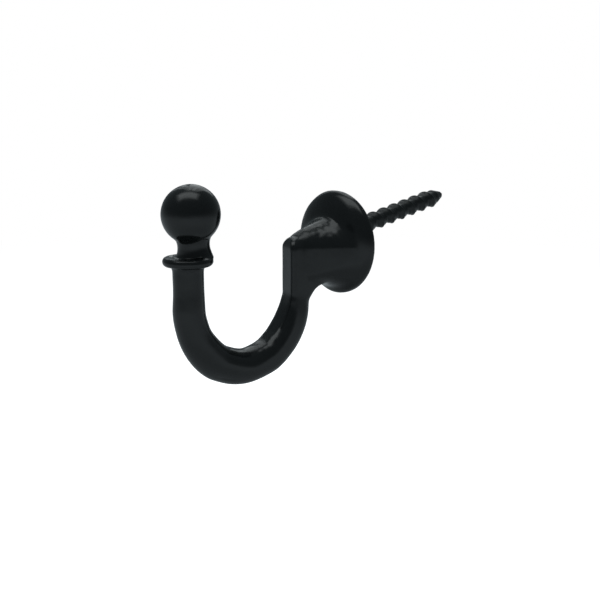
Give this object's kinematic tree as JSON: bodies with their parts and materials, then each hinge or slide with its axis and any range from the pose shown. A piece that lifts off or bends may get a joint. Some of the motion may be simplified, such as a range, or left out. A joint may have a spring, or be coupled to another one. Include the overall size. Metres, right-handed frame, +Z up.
{
  "type": "curtain tieback hook",
  "caption": "Ball-ended U-shaped curtain tieback hook on a small round wall flange, with a wood screw set in its back.",
  "frame": {"origin": "middle of the flange's flat back face, which lies on the wall", "axes": "+Y into the wall, along the screw but for its lean, -Y out into the room, +Z up, X across the hook's plane"},
  "size_m": [0.022, 0.0791, 0.0418],
  "materials": {
    "black_coat": "gloss",
    "screw_steel": "satin"
  },
  "bodies": {
    "root": {"hook": "black_coat", "screw": "screw_steel"}
  },
  "joints": []
}
